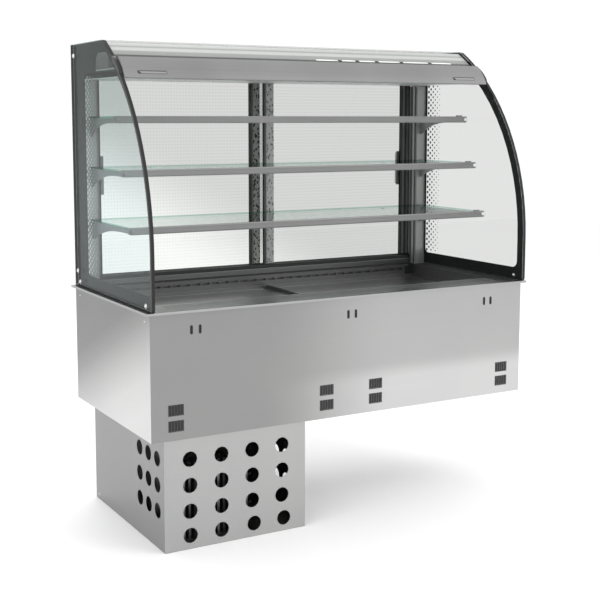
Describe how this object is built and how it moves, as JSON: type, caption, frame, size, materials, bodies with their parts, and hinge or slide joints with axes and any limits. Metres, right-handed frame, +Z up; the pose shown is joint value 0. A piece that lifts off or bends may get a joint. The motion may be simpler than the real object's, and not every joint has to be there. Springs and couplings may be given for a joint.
{
  "type": "refrigerated deli case",
  "caption": "Drop-in refrigerated display case: stainless well and machine box under a curved glass superstructure with shelves, open front and sliding rear doors.",
  "frame": {"origin": "on the underside of the counter flange, in the middle of its front strip, where the flange rests on the counter's edge", "axes": "+X to the right as a customer sees it, +Y from the customers to the staff side, +Z up"},
  "size_m": [1.51, 0.7436, 1.6437],
  "materials": {
    "brushed_steel": "brushed",
    "polished_steel": "bright satin",
    "foam": "raw foam",
    "clear_glass": "polished",
    "grey_metal": "satin",
    "dark_plastic": "satin",
    "black_rubber": "matt",
    "aluminium_fin": "mill",
    "pale_enamel": "gloss",
    "copper": "drawn"
  },
  "bodies": {
    "cabinet": {"cable_gland": "black_rubber", "casing_back": "brushed_steel", "casing_base": "brushed_steel", "casing_front": "brushed_steel", "casing_left": "brushed_steel", "casing_right": "brushed_steel", "ceiling_panel": "pale_enamel", "compressor": "pale_enamel", "condenser_coil": "aluminium_fin", "control_panel": "dark_plastic", "counter_flange": "polished_steel", "discharge_line": "copper", "door_track": "dark_plastic", "drain_pipe": "pale_enamel", "evaporator_coil": "aluminium_fin", "fan_baffle": "brushed_steel", "fan_shroud": "dark_plastic", "header": "grey_metal", "insulation": "foam", "machine_back": "brushed_steel", "machine_base": "brushed_steel", "machine_front": "brushed_steel", "machine_left": "brushed_steel", "machine_right": "brushed_steel", "pane_seal_left": "black_rubber", "pane_seal_right": "black_rubber", "rear_air_panel": "brushed_steel", "roof_glass": "clear_glass", "shelf_bracket_1_left": "grey_metal", "shelf_bracket_1_right": "grey_metal", "shelf_bracket_2_left": "grey_metal", "shelf_bracket_2_right": "grey_metal", "shelf_bracket_3_left": "grey_metal", "shelf_bracket_3_right": "grey_metal", "side_pane_left": "clear_glass", "side_pane_right": "clear_glass", "suction_line": "copper", "tub": "brushed_steel", "upright_left": "grey_metal", "upright_right": "grey_metal"},
    "return_grille": {"return_grille": "brushed_steel"},
    "deck_tray_left": {"deck_tray_left": "brushed_steel"},
    "deck_tray_right": {"deck_tray_right": "brushed_steel"},
    "shelf_1": {"shelf_glass_1": "clear_glass", "shelf_rail_1": "grey_metal"},
    "shelf_2": {"shelf_glass_2": "clear_glass", "shelf_rail_2": "grey_metal"},
    "shelf_3": {"shelf_glass_3": "clear_glass", "shelf_rail_3": "grey_metal"},
    "door_left": {"door_left": "clear_glass", "door_grip_left": "grey_metal"},
    "door_right": {"door_right": "clear_glass", "door_grip_right": "grey_metal"},
    "canopy_flap": {"canopy_flap": "grey_metal"},
    "evaporator_fan_left": {"evaporator_fan_left": "dark_plastic"},
    "evaporator_fan_right": {"evaporator_fan_right": "dark_plastic"},
    "condenser_fan": {"condenser_fan": "dark_plastic"},
    "drain_lever": {"drain_lever": "black_rubber"},
    "thermostat_knob": {"thermostat_knob": "pale_enamel"},
    "power_switch": {"power_switch": "black_rubber"}
  },
  "joints": [
    {"name": "return_grille_lift", "type": "slide", "parent": "cabinet", "child": "return_grille", "axis": [0, 0, 1], "range_m": [0, 0.15]},
    {"name": "deck_tray_left_lift", "type": "slide", "parent": "cabinet", "child": "deck_tray_left", "axis": [0, 0, 1], "range_m": [0, 0.13]},
    {"name": "deck_tray_right_lift", "type": "slide", "parent": "cabinet", "child": "deck_tray_right", "axis": [0, 0, 1], "range_m": [0, 0.13]},
    {"name": "shelf_1_lift", "type": "slide", "parent": "cabinet", "child": "shelf_1", "axis": [0, 0, 1], "range_m": [0, 0.08]},
    {"name": "shelf_2_lift", "type": "slide", "parent": "cabinet", "child": "shelf_2", "axis": [0, 0, 1], "range_m": [0, 0.08]},
    {"name": "shelf_3_lift", "type": "slide", "parent": "cabinet", "child": "shelf_3", "axis": [0, 0, 1], "range_m": [0, 0.08]},
    {"name": "door_left_slide", "type": "slide", "parent": "cabinet", "child": "door_left", "axis": [1, 0, 0], "range_m": [0, 0.62]},
    {"name": "door_right_slide", "type": "slide", "parent": "cabinet", "child": "door_right", "axis": [-1, 0, 0], "range_m": [0, 0.62]},
    {"name": "canopy_flap_hinge", "type": "hinge", "parent": "cabinet", "child": "canopy_flap", "pos_m": [0, 0.275, 0.793], "axis": [-1, 0, 0], "range_deg": [0, 75]},
    {"name": "evaporator_fan_left_spin", "type": "hinge", "parent": "cabinet", "child": "evaporator_fan_left", "pos_m": [-0.33, 0.335, -0.156], "axis": [0, 1, 0], "continuous": true},
    {"name": "evaporator_fan_right_spin", "type": "hinge", "parent": "cabinet", "child": "evaporator_fan_right", "pos_m": [0.33, 0.335, -0.156], "axis": [0, 1, 0], "continuous": true},
    {"name": "condenser_fan_spin", "type": "hinge", "parent": "cabinet", "child": "condenser_fan", "pos_m": [-0.52, 0.14, -0.61], "axis": [0, 1, 0], "continuous": true},
    {"name": "drain_lever_turn", "type": "hinge", "parent": "cabinet", "child": "drain_lever", "pos_m": [0.45, 0.3097, -0.443], "axis": [0, 1, 0], "range_deg": [0, 90]},
    {"name": "thermostat_knob_turn", "type": "hinge", "parent": "cabinet", "child": "thermostat_knob", "pos_m": [-0.56, 0.7125, -0.11], "axis": [0, 1, 0], "range_deg": [0, 270]},
    {"name": "power_switch_rock", "type": "hinge", "parent": "cabinet", "child": "power_switch", "pos_m": [-0.46, 0.7133, -0.11], "axis": [-1, 0, 0], "range_deg": [0, 16]}
  ]
}
